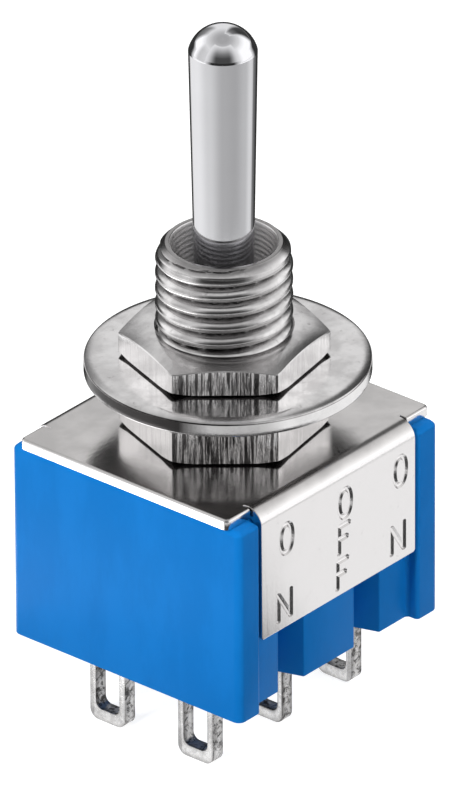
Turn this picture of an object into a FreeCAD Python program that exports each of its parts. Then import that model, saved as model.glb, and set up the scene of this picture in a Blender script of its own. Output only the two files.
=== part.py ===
import FreeCAD, Part
import math
import os

# Miniature panel toggle switch, double pole, on off on, with solder lugs.
# Sizes are millimetres. While drawing, height zero is the top of the frame plate.
# X is the way the lever swings, the lettered flaps face -Y and +Y, and Z is up.
# Finished shapes are lifted by LUG_DEPTH, so the tips of the lugs stand on height zero.

V = FreeCAD.Vector

# Fits, as gaps on the radius or on one side

RUNNING_GAP = 0.05
SLIDING_GAP = 0.04
SEAT_GAP = 0.01
TOUCH_GAP = 0.02

# Moulded housing

HOUSING_LENGTH = 13.45
HOUSING_WIDTH = 12.90
HOUSING_BOTTOM = -9.86
CORNER_RADIUS = 0.36
POST_WIDTH = 1.42
POST_EDGE_RADIUS = 0.20
POST_ROOT_RADIUS = 0.20
RECESS_DEPTH = 0.60
GROOVE_DEPTH = 1.25
GROOVE_NEAR_X = 1.70
GROOVE_FAR_X = 3.42
GROOVE_SLANT = 0.40
RIM_CHAMFER = 0.20
END_WALL = 0.95
SIDE_WALL = 0.65
CAVITY_RADIUS = 0.40
FLOOR_THICKNESS = 1.36
PARTITION_THICKNESS = 0.80
PARTITION_GAP = 0.40
PARTITION_INSET = 1.00

# Frame bracket, one folded sheet

SHEET = 0.50
PLATE_OVERHANG = 0.08
PLATE_SIDE_INSET = 0.59
PLATE_CORNER_RADIUS = 0.25
PLATE_EDGE_ROUND = 0.12
FLAP_END_GAP = 0.12
FLAP_INSET = 0.03
FLAP_BOTTOM = -6.35
FLAP_CORNER = 0.15
BEND_RADIUS = 0.80
RELIEF_WIDTH = 0.10
RELIEF_DEPTH = 0.40
GRIP_RIB_WIDTH = 0.60
GRIP_RIB_TOP = -2.50
GRIP_RIB_ABOVE_HEM = 0.85

# Threaded bushing, 6 mm with 0.75 pitch

THREAD_DIAMETER = 6.00
THREAD_PITCH = 0.75
BUSHING_TOP = 8.84
RIM_OUTER_RADIUS = 2.58
MOUTH_GAP = 0.15
FOOT_GAP = 0.10
FOOT_THICKNESS = 0.70
KEY_WIDTH = 1.20
KEY_PROJECTION = 0.50
KEY_ROOT = 0.30
LOWER_BORE_STEP = 0.25
LOWER_BORE_TOP = 2.20

# Lever with its ball, and the pin across the ball

PIVOT_HEIGHT = 4.40
BALL_RADIUS = 2.00
SEAT_OPENING_RADIUS = 1.75
LEVER_TIP = 19.28
LEVER_TIP_RADIUS = 1.50
LEVER_DOME_HEIGHT = 1.17
LEVER_SHOULDER_RADIUS = 0.85
LEVER_DOME_CREASE = 10.0
LEVER_MOUTH_RADIUS = 1.325
LEVER_NECK_RADIUS = 1.25
LEVER_NECK_HEIGHT = 6.60
STEM_RADIUS = 1.00
STEM_BOTTOM = -3.70
STEM_FLATS = 1.50
STEM_NOSE_CHAMFER = 0.20
PIVOT_PIN_RADIUS = 0.40
PIVOT_PIN_COVER = 0.25
PIVOT_PIN_CHAMFER = 0.08
LEVER_SWING = 10.5

# Nuts and washers stacked on the thread

NUT_ACROSS_FLATS = 8.00
NUT_TURN = 40.4
LOWER_NUT_HEIGHT = 2.00
LOCK_WASHER_HEIGHT = 0.60
PANEL_WASHER_HEIGHT = 0.75
UPPER_NUT_HEIGHT = 1.45
NUT_TOP_FACE_RADIUS = 3.40
NUT_UNDER_FACE_RADIUS = 4.25
NUT_CHAMFER_ANGLE = 18.0
NUT_COUNTERSINK = 0.28
LOCK_WASHER_RADIUS = 3.95
LOCK_RING_WIDTH = 0.45
LOCK_RING_THICKNESS = 0.44
LOCK_TOOTH_COUNT = 10
LOCK_TOOTH_WIDTH = 1.00
LOCK_TOOTH_THICKNESS = 0.34
LOCK_TOOTH_TWIST = 14.0
LOCK_TOOTH_ROOT = 0.20
PANEL_WASHER_RADIUS = 6.25
PANEL_WASHER_HOLE_GAP = 0.20
PANEL_WASHER_ROLL_WIDTH = 0.60
PANEL_WASHER_ROLL_DEPTH = 0.10
PANEL_WASHER_SLIP = 0.15
PANEL_WASHER_SLIP_DIRECTION = -49.6

# Actuator and sprung plungers, one for each pole

POLE_MARGIN = 1.45
ACTUATOR_HALF_WIDTH = 1.10
ACTUATOR_TOP = -2.20
ACTUATOR_BOTTOM = -5.00
HUB_RADIUS = 1.75
HUB_TOP = -1.90
HUB_FLOOR = 0.50
PLUNGER_RADIUS = 0.60
PLUNGER_TIP_RADIUS = 0.50
PLUNGER_TIP_TAPER = 0.20
PLUNGER_TOP = -4.10
BORE_ROOF_THICKNESS = 0.50
SPIGOT_RADIUS = 0.22
SPIGOT_LENGTH = 0.40
SPRING_WIRE = 0.20
SPRING_MEAN_RADIUS = 0.44
SPRING_TURNS = 4.0
SPRING_WIRE_SIDES = 6

# Rocker contacts

ROCKER_ABOVE_FLOOR = 1.30
ROCKER_THICKNESS = 0.40
ROCKER_WIDTH = 1.40
ROCKER_END_GAP = 0.44
ROCKER_WING_ANGLE = 6.0
KNUCKLE_RADIUS = 0.45
KNUCKLE_OVERLAP = 0.10
TIP_GAP = 0.045

# Solder terminals

TERMINAL_END_GAP = 1.075
LUG_THICKNESS = 0.68
LUG_WIDTH = 1.98
LUG_DEPTH = 13.70
LUG_CORNER_RADIUS = 0.45
EYE_WIDTH = 1.34
EYE_BELOW_HOUSING = 0.89
EYE_TIP_WALL = 0.55
EYE_TOP_RADIUS = 0.08
EYE_BOTTOM_RADIUS = 0.35
SHOULDER_WIDTH = 2.40
SHOULDER_HEIGHT = 0.50
PAD_THICKNESS = 0.50
PAD_REACH = 1.50
CRADLE_HALF_LENGTH = 0.90
CRADLE_DROP = 0.15
CRADLE_EAR_RISE = 0.45
CRADLE_EAR_THICKNESS = 0.25

# Values that follow from the ones above

HALF_LENGTH = HOUSING_LENGTH / 2
HALF_WIDTH = HOUSING_WIDTH / 2
POST_INNER_X = HALF_LENGTH - POST_WIDTH
RECESS_Y = HALF_WIDTH - RECESS_DEPTH
GROOVE_Y = RECESS_Y - GROOVE_DEPTH
CAVITY_X = HALF_LENGTH - END_WALL
CAVITY_Y = GROOVE_Y - SIDE_WALL
FLOOR_TOP = HOUSING_BOTTOM + FLOOR_THICKNESS
PARTITION_TOP = ACTUATOR_BOTTOM - PARTITION_GAP
PLATE_HALF_LENGTH = HALF_LENGTH + PLATE_OVERHANG
PLATE_HALF_WIDTH = HALF_WIDTH - PLATE_SIDE_INSET
FLAP_HALF_LENGTH = POST_INNER_X - FLAP_END_GAP
FLAP_OUTER_Y = HALF_WIDTH - FLAP_INSET
GRIP_RIB_X = (GROOVE_FAR_X + POST_INNER_X) / 2
GRIP_RIB_BOTTOM = FLAP_BOTTOM + GRIP_RIB_ABOVE_HEM
THREAD_RADIUS = THREAD_DIAMETER / 2
PITCH_RADIUS = (THREAD_DIAMETER - 0.6495 * THREAD_PITCH) / 2
FOOT_RADIUS = CAVITY_Y - FOOT_GAP
KEY_REACH = THREAD_RADIUS + KEY_PROJECTION
BALL_SEAT_RADIUS = BALL_RADIUS + RUNNING_GAP
LOWER_BORE_RADIUS = BALL_SEAT_RADIUS + LOWER_BORE_STEP
SWING = math.radians(LEVER_SWING)
LEVER_SWEEP = LEVER_MOUTH_RADIUS / math.cos(SWING) + (BUSHING_TOP - PIVOT_HEIGHT) * math.tan(SWING)
MOUTH_RADIUS = LEVER_SWEEP + MOUTH_GAP
PIVOT_PIN_LENGTH = 2 * (PITCH_RADIUS - PIVOT_PIN_COVER)
PANEL_WASHER_HOLE_RADIUS = THREAD_RADIUS + PANEL_WASHER_HOLE_GAP
LOWER_NUT_TOP = LOWER_NUT_HEIGHT
LOCK_WASHER_TOP = LOWER_NUT_TOP + LOCK_WASHER_HEIGHT
PANEL_WASHER_TOP = LOCK_WASHER_TOP + PANEL_WASHER_HEIGHT
UPPER_NUT_TOP = PANEL_WASHER_TOP + UPPER_NUT_HEIGHT
PLUNGER_BORE_ROOF = ACTUATOR_TOP - BORE_ROOF_THICKNESS
BORE_RADIUS = PLUNGER_RADIUS + SLIDING_GAP
ROCKER_PIVOT_HEIGHT = FLOOR_TOP + ROCKER_ABOVE_FLOOR
CRADLE_TOP = ROCKER_PIVOT_HEIGHT - CRADLE_DROP
CRADLE_EAR_TOP = ROCKER_PIVOT_HEIGHT + CRADLE_EAR_RISE
TERMINAL_SPACING = CAVITY_X - TERMINAL_END_GAP
ROCKER_REACH = TERMINAL_SPACING + LUG_THICKNESS / 2 - ROCKER_END_GAP
PAD_INNER_X = TERMINAL_SPACING - PAD_REACH
EYE_TOP = HOUSING_BOTTOM - EYE_BELOW_HOUSING
EYE_BOTTOM = EYE_TIP_WALL - LUG_DEPTH
POLE_Y = CAVITY_Y - POLE_MARGIN
POLES = {"front": -POLE_Y, "rear": POLE_Y}
THROWS = {"left": -1, "right": 1}


def block(x_low, x_high, y_low, y_high, z_low, z_high):
    size = V(x_high - x_low, y_high - y_low, z_high - z_low)
    return Part.makeBox(size.x, size.y, size.z, V(x_low, y_low, z_low))


def post(radius, z_low, z_high, x=0.0, y=0.0):
    return Part.makeCylinder(radius, z_high - z_low, V(x, y, z_low))


def bar_along_y(radius, length, x, y, z):
    return Part.makeCylinder(radius, length, V(x, y - length / 2, z), V(0, 1, 0))


def prism(points, z_low, z_high):
    corners = [V(x, y, z_low) for x, y in points]
    outline = Part.makePolygon(corners + corners[:1])
    return Part.Face(outline).extrude(V(0, 0, z_high - z_low))


def side_prism(points, y_low, y_high):
    corners = [V(x, y_low, z) for x, z in points]
    outline = Part.makePolygon(corners + corners[:1])
    return Part.Face(outline).extrude(V(0, y_high - y_low, 0))


def turned(edges):
    outline = Part.Wire(Part.__sortEdges__(edges))
    return Part.Face(outline).revolve(V(0, 0, 0), V(0, 0, 1), 360)


def line(r1, z1, r2, z2):
    return Part.makeLine(V(r1, 0, z1), V(r2, 0, z2))


def chain(points):
    pairs = zip(points[:-1], points[1:])
    return [line(a[0], a[1], b[0], b[1]) for a, b in pairs]


def round_arc(centre_z, radius, angle_low, angle_high, centre_r=0.0):
    def at(angle):
        turn = math.radians(angle)
        return V(centre_r + radius * math.cos(turn), 0, centre_z + radius * math.sin(turn))

    middle = (angle_low + angle_high) / 2
    return Part.Arc(at(angle_low), at(middle), at(angle_high)).toShape()


def level_start_arc(r1, z1, r2, z2):
    run, fall = r2 - r1, z1 - z2
    radius = (run ** 2 + fall ** 2) / (2 * fall)
    half_turn = math.asin(run / radius) / 2
    middle = V(r1 + radius * math.sin(half_turn), 0, z1 - radius * (1 - math.cos(half_turn)))
    return Part.Arc(V(r1, 0, z1), middle, V(r2, 0, z2)).toShape()


def on_line(edge, x=None, y=None, z=None):
    if len(edge.Vertexes) != 2:
        return False
    ends = zip(tuple(edge.Vertexes[0].Point), tuple(edge.Vertexes[1].Point), (x, y, z))
    for first, second, wanted in ends:
        if wanted is None:
            continue
        if abs(first - second) > 1e-6 or abs(abs(first) - abs(wanted)) > 1e-6:
            return False
    return True


def round_edges(shape, radius, x=None, y=None, z=None):
    chosen = [edge for edge in shape.Edges if on_line(edge, x, y, z)]
    return shape.makeFillet(radius, chosen)


def housing_outline():
    front = [
        (-HALF_LENGTH, -HALF_WIDTH),
        (-POST_INNER_X, -HALF_WIDTH),
        (-POST_INNER_X, -RECESS_Y),
        (-GROOVE_FAR_X, -RECESS_Y),
        (-GROOVE_FAR_X + GROOVE_SLANT, -GROOVE_Y),
        (-GROOVE_NEAR_X - GROOVE_SLANT, -GROOVE_Y),
        (-GROOVE_NEAR_X, -RECESS_Y),
    ]
    front += [(-x, y) for x, y in reversed(front)]
    return front + [(-x, -y) for x, y in front]


def housing():
    body = prism(housing_outline(), HOUSING_BOTTOM, -SHEET)
    body = round_edges(body, CORNER_RADIUS, x=HALF_LENGTH, y=HALF_WIDTH)
    body = round_edges(body, POST_EDGE_RADIUS, x=POST_INNER_X, y=HALF_WIDTH)
    body = round_edges(body, POST_ROOT_RADIUS, x=POST_INNER_X, y=RECESS_Y)
    body = body.makeChamfer(RIM_CHAMFER, [edge for edge in body.Edges if edge.BoundBox.ZMin > -SHEET - 0.01])
    cavity = block(-CAVITY_X, CAVITY_X, -CAVITY_Y, CAVITY_Y, FLOOR_TOP, -SHEET)
    cavity = round_edges(cavity, CAVITY_RADIUS, x=CAVITY_X, y=CAVITY_Y)
    half = PARTITION_THICKNESS / 2
    reach = CAVITY_X + PARTITION_INSET
    partition = block(-reach, reach, -half, half, FLOOR_TOP, PARTITION_TOP)
    body = body.cut(cavity.cut(partition))
    slot_x = LUG_THICKNESS / 2 + SEAT_GAP
    slot_y = LUG_WIDTH / 2 + SEAT_GAP
    for y in POLES.values():
        for x in (-TERMINAL_SPACING, 0.0, TERMINAL_SPACING):
            slot = block(x - slot_x, x + slot_x, y - slot_y, y + slot_y, HOUSING_BOTTOM, FLOOR_TOP)
            body = body.cut(slot)
    return body


def frame_bracket():
    half_plate = PLATE_HALF_WIDTH
    half_flap = FLAP_HALF_LENGTH
    plate = block(-PLATE_HALF_LENGTH, PLATE_HALF_LENGTH, -half_plate, half_plate, -SHEET, 0)
    plate = round_edges(plate, PLATE_CORNER_RADIUS, x=PLATE_HALF_LENGTH, y=half_plate)
    top_edges = [edge for edge in plate.Edges if edge.BoundBox.ZMin > -SHEET / 10]
    plate = plate.makeFillet(PLATE_EDGE_ROUND, top_edges)
    relief_x = half_flap + RELIEF_WIDTH
    relief_y = half_plate - RELIEF_DEPTH
    for side in (-1, 1):
        y_low, y_high = sorted((side * relief_y, side * (half_plate + SHEET)))
        plate = plate.cut(block(-relief_x, relief_x, y_low, y_high, -2 * SHEET, SHEET))
    fold = block(-half_flap, half_flap, -FLAP_OUTER_Y, FLAP_OUTER_Y, FLAP_BOTTOM, 0)
    fold = round_edges(fold, BEND_RADIUS, y=FLAP_OUTER_Y, z=0)
    flap_inner_y = FLAP_OUTER_Y - SHEET
    past = half_flap + SHEET
    inside = block(-past, past, -flap_inner_y, flap_inner_y, FLAP_BOTTOM - SHEET, -SHEET)
    inside = round_edges(inside, BEND_RADIUS - SHEET, y=flap_inner_y, z=-SHEET)
    fold = fold.cut(inside)
    fold = round_edges(fold, FLAP_CORNER, x=half_flap, z=FLAP_BOTTOM)
    bracket = plate.fuse(fold)
    for side in (-1, 1):
        for x in (-GRIP_RIB_X, GRIP_RIB_X):
            y_low, y_high = sorted((side * (RECESS_Y + SEAT_GAP), side * (flap_inner_y + SHEET / 2)))
            half = GRIP_RIB_WIDTH / 2
            rib = block(x - half, x + half, y_low, y_high, GRIP_RIB_BOTTOM, GRIP_RIB_TOP)
            bracket = bracket.fuse(rib)
    hole = post(THREAD_RADIUS + SEAT_GAP, -2 * SHEET, SHEET)
    half_key = KEY_WIDTH / 2 + SEAT_GAP
    keyway = block(0, KEY_REACH + SEAT_GAP, -half_key, half_key, -2 * SHEET, SHEET)
    return bracket.cut(hole).cut(keyway).removeSplitter()


def bushing():
    rim = THREAD_RADIUS - RIM_OUTER_RADIUS
    foot_low = -SHEET - FOOT_THICKNESS
    outline = [
        (0, foot_low),
        (FOOT_RADIUS, foot_low),
        (FOOT_RADIUS, -SHEET),
        (THREAD_RADIUS, -SHEET),
        (THREAD_RADIUS, 0),
        (PITCH_RADIUS, 0),
        (PITCH_RADIUS, LOWER_NUT_TOP),
        (THREAD_RADIUS, LOWER_NUT_TOP),
        (THREAD_RADIUS, PANEL_WASHER_TOP),
        (PITCH_RADIUS, PANEL_WASHER_TOP),
        (PITCH_RADIUS, UPPER_NUT_TOP),
        (THREAD_RADIUS, UPPER_NUT_TOP),
        (THREAD_RADIUS, BUSHING_TOP - rim),
        (RIM_OUTER_RADIUS, BUSHING_TOP),
        (0, BUSHING_TOP),
        (0, foot_low),
    ]
    body = turned(chain(outline))
    key_half = KEY_WIDTH / 2
    key = block(THREAD_RADIUS - KEY_ROOT, KEY_REACH, -key_half, key_half, -SHEET, 0)
    body = body.fuse(key)
    seat_angle = math.degrees(math.acos(SEAT_OPENING_RADIUS / BALL_SEAT_RADIUS))
    seat_top = PIVOT_HEIGHT + BALL_SEAT_RADIUS * math.sin(math.radians(seat_angle))
    step = LOWER_BORE_RADIUS - BALL_SEAT_RADIUS
    bore = chain([
        (0, foot_low),
        (LOWER_BORE_RADIUS, foot_low),
        (LOWER_BORE_RADIUS, LOWER_BORE_TOP),
        (BALL_SEAT_RADIUS, LOWER_BORE_TOP + step),
        (BALL_SEAT_RADIUS, PIVOT_HEIGHT),
    ])
    bore.append(round_arc(PIVOT_HEIGHT, BALL_SEAT_RADIUS, 0, seat_angle))
    bore += chain([
        (SEAT_OPENING_RADIUS, seat_top),
        (MOUTH_RADIUS, BUSHING_TOP),
        (0, BUSHING_TOP),
        (0, foot_low),
    ])
    body = body.cut(turned(bore))
    slot_radius = PIVOT_PIN_RADIUS + RUNNING_GAP
    slot_half = PIVOT_PIN_LENGTH / 2 + RUNNING_GAP
    slot = block(-slot_radius, slot_radius, -slot_half, slot_half, foot_low, PIVOT_HEIGHT)
    slot = slot.fuse(bar_along_y(slot_radius, 2 * slot_half, 0, 0, PIVOT_HEIGHT))
    return body.cut(slot).removeSplitter()


def lever_dome(base_z):
    crease = math.radians(LEVER_DOME_CREASE)
    aside = LEVER_TIP_RADIUS - LEVER_SHOULDER_RADIUS * math.cos(crease)
    below = LEVER_SHOULDER_RADIUS * math.sin(crease)
    rise = LEVER_DOME_HEIGHT + below
    crown = (aside ** 2 + rise ** 2 - LEVER_SHOULDER_RADIUS ** 2) / (2 * (rise - LEVER_SHOULDER_RADIUS))
    shoulder_z = base_z - below
    crown_z = LEVER_TIP - crown
    meeting = math.degrees(math.atan2(shoulder_z - crown_z, aside))
    return [
        round_arc(shoulder_z, LEVER_SHOULDER_RADIUS, LEVER_DOME_CREASE, meeting, aside),
        round_arc(crown_z, crown, meeting, 90),
    ]


def lever():
    dome_base = LEVER_TIP - LEVER_DOME_HEIGHT
    neck_angle = math.degrees(math.acos(LEVER_NECK_RADIUS / BALL_RADIUS))
    stem_angle = -math.degrees(math.acos(STEM_RADIUS / BALL_RADIUS))
    neck_z = PIVOT_HEIGHT + BALL_RADIUS * math.sin(math.radians(neck_angle))
    stem_z = PIVOT_HEIGHT + BALL_RADIUS * math.sin(math.radians(stem_angle))
    nose = STEM_RADIUS - STEM_NOSE_CHAMFER
    edges = chain([
        (0, LEVER_TIP),
        (0, STEM_BOTTOM),
        (nose, STEM_BOTTOM),
        (STEM_RADIUS, STEM_BOTTOM + STEM_NOSE_CHAMFER),
        (STEM_RADIUS, stem_z),
    ])
    edges.append(round_arc(PIVOT_HEIGHT, BALL_RADIUS, stem_angle, neck_angle))
    edges += chain([
        (LEVER_NECK_RADIUS, neck_z),
        (LEVER_NECK_RADIUS, LEVER_NECK_HEIGHT),
        (LEVER_MOUTH_RADIUS, BUSHING_TOP),
        (LEVER_TIP_RADIUS, dome_base),
    ])
    edges += lever_dome(dome_base)
    body = turned(edges)
    for side in (-1, 1):
        x_low, x_high = sorted((side * STEM_FLATS / 2, side * 2 * STEM_RADIUS))
        wide = 2 * STEM_RADIUS
        body = body.cut(block(x_low, x_high, -wide, wide, STEM_BOTTOM - HUB_FLOOR, HUB_TOP))
    return body.cut(bar_along_y(PIVOT_PIN_RADIUS, 3 * BALL_RADIUS, 0, 0, PIVOT_HEIGHT))


def lever_pivot_pin():
    pin = bar_along_y(PIVOT_PIN_RADIUS, PIVOT_PIN_LENGTH, 0, 0, PIVOT_HEIGHT)
    return pin.makeChamfer(PIVOT_PIN_CHAMFER, [edge for edge in pin.Edges if not on_line(edge)])


def hex_nut(z_low, z_high):
    corner = NUT_ACROSS_FLATS / 2 / math.cos(math.radians(30))
    turns = [math.radians(NUT_TURN + 30 + 60 * n) for n in range(6)]
    body = prism([(corner * math.cos(a), corner * math.sin(a)) for a in turns], z_low, z_high)
    slope = math.tan(math.radians(NUT_CHAMFER_ANGLE))
    wide = 2 * corner
    limit = turned(chain([
        (0, z_low),
        (NUT_UNDER_FACE_RADIUS, z_low),
        (wide, z_low + (wide - NUT_UNDER_FACE_RADIUS) * slope),
        (wide, z_high - (wide - NUT_TOP_FACE_RADIUS) * slope),
        (NUT_TOP_FACE_RADIUS, z_high),
        (0, z_high),
        (0, z_low),
    ]))
    bore_radius = PITCH_RADIUS + SEAT_GAP
    open_radius = bore_radius + NUT_COUNTERSINK
    bore = turned(chain([
        (0, z_low),
        (open_radius, z_low),
        (bore_radius, z_low + NUT_COUNTERSINK),
        (bore_radius, z_high - NUT_COUNTERSINK),
        (open_radius, z_high),
        (0, z_high),
        (0, z_low),
    ]))
    return body.common(limit).cut(bore)


def lock_washer():
    middle = (LOWER_NUT_TOP + LOCK_WASHER_TOP) / 2
    half = LOCK_RING_THICKNESS / 2
    ring_inner = LOCK_WASHER_RADIUS - LOCK_RING_WIDTH
    body = post(LOCK_WASHER_RADIUS, middle - half, middle + half)
    body = body.cut(post(ring_inner, LOWER_NUT_TOP, LOCK_WASHER_TOP))
    tooth_inner = THREAD_RADIUS + RUNNING_GAP
    half_width = LOCK_TOOTH_WIDTH / 2
    half_thick = LOCK_TOOTH_THICKNESS / 2
    for number in range(LOCK_TOOTH_COUNT):
        outer = ring_inner + LOCK_TOOTH_ROOT
        tooth = block(tooth_inner, outer, -half_width, half_width, -half_thick, half_thick)
        tooth.rotate(V(0, 0, 0), V(1, 0, 0), LOCK_TOOTH_TWIST)
        tooth.rotate(V(0, 0, 0), V(0, 0, 1), 360 * number / LOCK_TOOTH_COUNT)
        tooth.translate(V(0, 0, middle))
        body = body.fuse(tooth)
    return body.cut(post(tooth_inner, LOWER_NUT_TOP, LOCK_WASHER_TOP)).removeSplitter()


def panel_washer():
    turn = math.radians(PANEL_WASHER_SLIP_DIRECTION)
    shoulder = PANEL_WASHER_RADIUS - PANEL_WASHER_ROLL_WIDTH
    edge_height = PANEL_WASHER_TOP - PANEL_WASHER_ROLL_DEPTH
    edges = chain([
        (shoulder, PANEL_WASHER_TOP),
        (PANEL_WASHER_HOLE_RADIUS, PANEL_WASHER_TOP),
        (PANEL_WASHER_HOLE_RADIUS, LOCK_WASHER_TOP),
        (PANEL_WASHER_RADIUS, LOCK_WASHER_TOP),
        (PANEL_WASHER_RADIUS, edge_height),
    ])
    edges.append(level_start_arc(shoulder, PANEL_WASHER_TOP, PANEL_WASHER_RADIUS, edge_height))
    body = turned(edges)
    x = PANEL_WASHER_SLIP * math.cos(turn)
    y = PANEL_WASHER_SLIP * math.sin(turn)
    body.translate(V(x, y, 0))
    return body


def plunger_tip_height():
    valley = ROCKER_PIVOT_HEIGHT + ROCKER_THICKNESS / math.cos(math.radians(ROCKER_WING_ANGLE))
    centre = valley + (PLUNGER_TIP_RADIUS + TIP_GAP) / math.cos(math.radians(ROCKER_WING_ANGLE))
    return centre - PLUNGER_TIP_RADIUS


def actuator():
    half = ACTUATOR_HALF_WIDTH
    body = block(-half, half, -POLE_Y, POLE_Y, ACTUATOR_BOTTOM, ACTUATOR_TOP)
    for y in POLES.values():
        body = body.fuse(post(half, ACTUATOR_BOTTOM, ACTUATOR_TOP, 0, y))
    body = body.fuse(post(HUB_RADIUS, STEM_BOTTOM - HUB_FLOOR, HUB_TOP))
    socket = post(STEM_RADIUS + SEAT_GAP, STEM_BOTTOM - SEAT_GAP, HUB_TOP)
    flats = STEM_FLATS / 2 + SEAT_GAP
    wide = 2 * STEM_RADIUS
    socket = socket.common(block(-flats, flats, -wide, wide, STEM_BOTTOM - HUB_FLOOR, HUB_TOP))
    body = body.cut(socket)
    for y in POLES.values():
        body = body.cut(post(BORE_RADIUS, ACTUATOR_BOTTOM, PLUNGER_BORE_ROOF, 0, y))
    return body.removeSplitter()


def plunger(y):
    tip = plunger_tip_height()
    centre = tip + PLUNGER_TIP_RADIUS
    spigot_top = PLUNGER_TOP + SPIGOT_LENGTH
    edges = [round_arc(centre, PLUNGER_TIP_RADIUS, -90, 0)]
    edges += chain([
        (PLUNGER_TIP_RADIUS, centre),
        (PLUNGER_RADIUS, centre + PLUNGER_TIP_TAPER),
        (PLUNGER_RADIUS, PLUNGER_TOP),
        (SPIGOT_RADIUS, PLUNGER_TOP),
        (SPIGOT_RADIUS, spigot_top),
        (0, spigot_top),
        (0, tip),
    ])
    body = turned(edges)
    body.translate(V(0, y, 0))
    return body


def plunger_spring(y):
    low = PLUNGER_TOP + SPRING_WIRE / 2 + SEAT_GAP
    length = PLUNGER_BORE_ROOF - PLUNGER_TOP - SPRING_WIRE - 2 * SEAT_GAP
    helix = Part.makeHelix(length / SPRING_TURNS, length, SPRING_MEAN_RADIUS)
    half = SPRING_WIRE / 2
    turns = [2 * math.pi * n / SPRING_WIRE_SIDES for n in range(SPRING_WIRE_SIDES)]
    corners = [V(SPRING_MEAN_RADIUS + half * math.cos(a), 0, half * math.sin(a)) for a in turns]
    wire = Part.makePolygon(corners + corners[:1])
    body = Part.Wire(helix).makePipeShell([wire], True, True)
    body.translate(V(0, y, low))
    return body


def rocker_contact(y):
    tilt = math.radians(ROCKER_WING_ANGLE)
    along = (math.cos(tilt), math.sin(tilt))
    up = (-math.sin(tilt), math.cos(tilt))
    end_low = (ROCKER_REACH * along[0], ROCKER_REACH * along[1])
    end_high = (
        end_low[0] + ROCKER_THICKNESS * up[0],
        end_low[1] + ROCKER_THICKNESS * up[1],
    )
    valley = (0.0, ROCKER_THICKNESS / math.cos(tilt))
    right = [(0.0, 0.0), end_low, end_high, valley]
    left = [(-x, z) for x, z in (end_high, end_low)]
    points = [(x, z + ROCKER_PIVOT_HEIGHT) for x, z in right + left]
    half = ROCKER_WIDTH / 2
    strip = side_prism(points, y - half, y + half)
    knuckle = bar_along_y(KNUCKLE_RADIUS, ROCKER_WIDTH, 0, y, ROCKER_PIVOT_HEIGHT)
    wide = 2 * KNUCKLE_RADIUS
    low = ROCKER_PIVOT_HEIGHT - wide
    high = ROCKER_PIVOT_HEIGHT + KNUCKLE_OVERLAP
    lower_half = block(-wide, wide, y - ROCKER_WIDTH, y + ROCKER_WIDTH, low, high)
    return strip.fuse(knuckle.common(lower_half)).removeSplitter()


def lug(x, y, top):
    half_x = LUG_THICKNESS / 2
    half_y = LUG_WIDTH / 2
    blade = block(x - half_x, x + half_x, y - half_y, y + half_y, -LUG_DEPTH, top)
    tip_edges = [
        edge for edge in blade.Edges
        if edge.BoundBox.ZMax < -LUG_DEPTH + 0.01 and edge.BoundBox.YLength < 0.01
    ]
    blade = blade.makeFillet(LUG_CORNER_RADIUS, tip_edges)
    eye_half = EYE_WIDTH / 2
    past = 2 * LUG_THICKNESS
    eye = block(x - past, x + past, y - eye_half, y + eye_half, EYE_BOTTOM, EYE_TOP)
    across = [edge for edge in eye.Edges if edge.BoundBox.XLength > past]
    lower = [edge for edge in across if edge.BoundBox.ZMax < EYE_BOTTOM + 0.01]
    eye = eye.makeFillet(EYE_BOTTOM_RADIUS, lower)
    across = [edge for edge in eye.Edges if edge.BoundBox.XLength > past]
    upper = [edge for edge in across if edge.BoundBox.ZMin > EYE_TOP - 0.01]
    eye = eye.makeFillet(EYE_TOP_RADIUS, upper)
    return blade.cut(eye)


def common_terminal(y):
    half_y = LUG_WIDTH / 2
    half_x = CRADLE_HALF_LENGTH
    body = lug(0.0, y, FLOOR_TOP + SHOULDER_HEIGHT)
    head = block(-half_x, half_x, y - half_y, y + half_y, FLOOR_TOP, CRADLE_EAR_TOP)
    gap_half = half_y - CRADLE_EAR_THICKNESS
    past = 2 * half_x
    channel = block(-past, past, y - gap_half, y + gap_half, CRADLE_TOP, 0)
    notch = bar_along_y(KNUCKLE_RADIUS + RUNNING_GAP, 2 * gap_half, 0, y, ROCKER_PIVOT_HEIGHT)
    return body.fuse(head.cut(channel).cut(notch)).removeSplitter()


def throw_terminal(side, y):
    x = side * TERMINAL_SPACING
    pad_top = ROCKER_PIVOT_HEIGHT - TOUCH_GAP
    body = lug(x, y, pad_top)
    half_x = LUG_THICKNESS / 2
    half_y = LUG_WIDTH / 2
    wide = SHOULDER_WIDTH / 2
    shoulder = block(x - half_x, x + half_x, y - wide, y + wide, FLOOR_TOP, FLOOR_TOP + SHOULDER_HEIGHT)
    x_low, x_high = sorted((side * PAD_INNER_X, x + side * half_x))
    pad = block(x_low, x_high, y - half_y, y + half_y, pad_top - PAD_THICKNESS, pad_top)
    return body.fuse(shoulder).fuse(pad).removeSplitter()


def every_piece():
    pieces = {
        "housing": housing(),
        "frame_bracket": frame_bracket(),
        "bushing": bushing(),
        "lever": lever(),
        "lever_pivot_pin": lever_pivot_pin(),
        "lower_hex_nut": hex_nut(0, LOWER_NUT_TOP),
        "lock_washer": lock_washer(),
        "panel_washer": panel_washer(),
        "upper_hex_nut": hex_nut(PANEL_WASHER_TOP, UPPER_NUT_TOP),
        "actuator": actuator(),
    }
    for pole, y in POLES.items():
        pieces["plunger_" + pole] = plunger(y)
        pieces["plunger_spring_" + pole] = plunger_spring(y)
        pieces["rocker_contact_" + pole] = rocker_contact(y)
        pieces["terminal_common_" + pole] = common_terminal(y)
        for throw, side in THROWS.items():
            pieces["terminal_" + throw + "_" + pole] = throw_terminal(side, y)
    return pieces


os.makedirs("parts", exist_ok=True)
for name, shape in every_piece().items():
    shape.translate(V(0, 0, LUG_DEPTH))
    shape.exportStep("parts/" + name + ".step")
    print(name, shape.isValid(), len(shape.Solids), round(shape.Volume, 3))
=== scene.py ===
import math

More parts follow.
